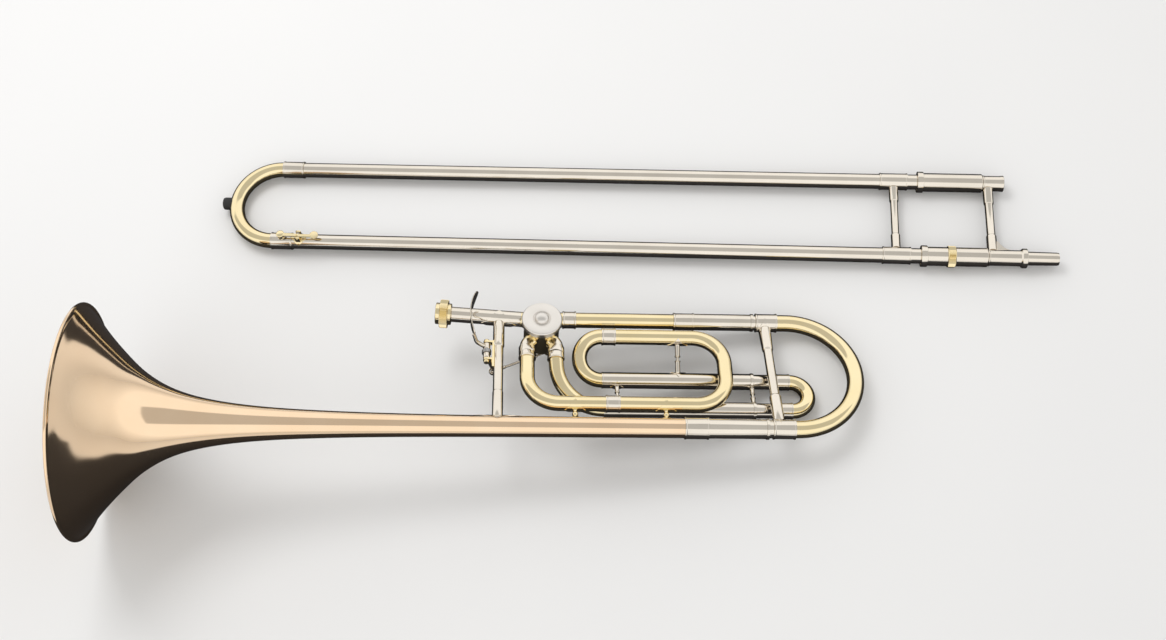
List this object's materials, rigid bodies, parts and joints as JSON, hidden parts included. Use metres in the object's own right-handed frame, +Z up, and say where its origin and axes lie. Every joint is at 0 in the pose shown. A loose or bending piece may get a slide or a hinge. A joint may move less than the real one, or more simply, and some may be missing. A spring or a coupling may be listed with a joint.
{
  "type": "trombone",
  "caption": "Tenor trombone with a rotary-valve F attachment, taken apart into its bell section and its hand slide, both lying flat.",
  "frame": {"origin": "centre of the object's footprint on the floor, at floor height", "axes": "+X along the instrument's length from the bell mouth to the crook, +Y from the bell section to the hand slide, +Z up"},
  "size_m": [0.937, 0.442, 0.2147],
  "materials": {
    "nickel_silver": "polished nickel silver",
    "lacquered_brass": "polished and lacquered yellow brass",
    "rose_brass": "polished and lacquered rose brass",
    "satin_nickel": "satin nickel plate",
    "dark_rubber": "black rubber",
    "cork": "dark synthetic cork",
    "spring_steel": "bright steel wire"
  },
  "bodies": {
    "bell_section": {"bell_flare": "rose_brass", "bell_rim_wire": "rose_brass", "bell_ferrule": "nickel_silver", "bell_outer_tube": "nickel_silver", "neck_outer_tube": "nickel_silver", "neck_ferrule": "nickel_silver", "output_tube": "lacquered_brass", "output_ferrule": "nickel_silver", "receiver_tube": "nickel_silver", "hand_brace": "nickel_silver", "hand_brace_flanges": "nickel_silver", "valve_casing": "lacquered_brass", "bearing_plate": "lacquered_brass", "valve_cap": "satin_nickel", "stop_plate": "lacquered_brass", "stop_bumpers": "cork", "lever_pivot": "lacquered_brass", "lever_bracket": "lacquered_brass", "lever_spring": "spring_steel", "port_ferrules": "nickel_silver", "f_first_tube": "lacquered_brass", "f_second_tube": "lacquered_brass", "f_loop_ferrules": "nickel_silver", "f_right_crook": "lacquered_brass", "f_left_crook": "lacquered_brass", "f_upper_leg": "nickel_silver", "f_lower_leg": "nickel_silver", "f_braces": "nickel_silver", "bell_posts": "lacquered_brass"},
    "lock_nut": {"lock_nut": "lacquered_brass"},
    "rotor": {"valve_rotor": "lacquered_brass", "stop_arm": "lacquered_brass", "stop_arm_screw": "nickel_silver"},
    "link": {"link_rod": "nickel_silver"},
    "thumb_lever": {"thumb_lever": "nickel_silver"},
    "tuning_slide": {"tuning_crook": "lacquered_brass", "tuning_ferrules": "nickel_silver", "tuning_neck_leg": "nickel_silver", "tuning_bell_leg": "nickel_silver", "tuning_brace": "nickel_silver"},
    "f_slide": {"f_slide_crook": "lacquered_brass", "f_slide_ferrules": "nickel_silver", "f_slide_legs": "nickel_silver"},
    "inner_slide": {"inner_tubes": "nickel_silver", "cork_barrels": "nickel_silver", "grip_brace": "nickel_silver", "mouthpiece_receiver": "nickel_silver", "slide_tenon": "nickel_silver"},
    "lock_ring": {"lock_ring": "lacquered_brass"},
    "outer_slide": {"outer_tubes": "nickel_silver", "outer_sleeves": "nickel_silver", "outer_brace": "nickel_silver", "slide_bow": "lacquered_brass", "bow_ferrules": "nickel_silver", "bow_bumper": "dark_rubber", "water_key_saddle": "lacquered_brass", "water_key_spring": "spring_steel"},
    "water_key": {"water_key": "lacquered_brass", "water_key_cork": "cork"}
  },
  "joints": [
    {"name": "lock_nut_turn", "type": "hinge", "parent": "bell_section", "child": "lock_nut", "pos_m": [-0.13146, 0.01289, 0.04886], "axis": [-0.9926, 0.0721, 0.098], "continuous": true},
    {"name": "tuning_slide_pull", "type": "slide", "parent": "bell_section", "child": "tuning_slide", "axis": [0.9938, 0, -0.1109], "range_m": [0, 0.045]},
    {"name": "f_slide_pull", "type": "slide", "parent": "bell_section", "child": "f_slide", "axis": [0.9938, 0, -0.1109], "range_m": [-0.017, 0.055]},
    {"name": "thumb_lever_press", "type": "hinge", "parent": "bell_section", "child": "thumb_lever", "pos_m": [-0.09588, -0.02988, 0.05248], "axis": [-0.0193, 0.9848, -0.1726], "range_deg": [0, 30], "stiffness_Nm_per_rad": 0.08, "springref_deg": -22.92},
    {"name": "link_travel", "type": "slide", "parent": "bell_section", "child": "link", "axis": [-0.9938, 0, 0.1109], "range_m": [0, 0.01346]},
    {"name": "rotor_turn", "type": "hinge", "parent": "bell_section", "child": "rotor", "pos_m": [-0.04438, -0.00536, 0.04238], "axis": [-0.1092, -0.1736, -0.9787], "range_deg": [0, 90]},
    {"name": "hand_slide_lift", "type": "slide", "parent": "bell_section", "child": "inner_slide", "axis": [0, 0, 1], "range_m": [0, 0.25]},
    {"name": "hand_slide_extend", "type": "slide", "parent": "inner_slide", "child": "outer_slide", "axis": [-0.9976, 0.0698, 0], "range_m": [0, 0.6]},
    {"name": "lock_ring_turn", "type": "hinge", "parent": "inner_slide", "child": "lock_ring", "pos_m": [0.36337, 0.07737, 0.0108], "axis": [0.9976, -0.0698, 0], "range_deg": [0, 30]},
    {"name": "water_key_press", "type": "hinge", "parent": "outer_slide", "child": "water_key", "pos_m": [-0.29702, 0.12354, 0.0233], "axis": [0.0698, 0.9976, 0], "range_deg": [0, 13], "stiffness_Nm_per_rad": 0.03, "springref_deg": -28.65}
  ],
  "couplings": [
    {"joint": "link_travel", "follows": "thumb_lever_press", "m_per_rad": 0.025704},
    {"joint": "rotor_turn", "follows": "thumb_lever_press", "ratio": 3}
  ]
}
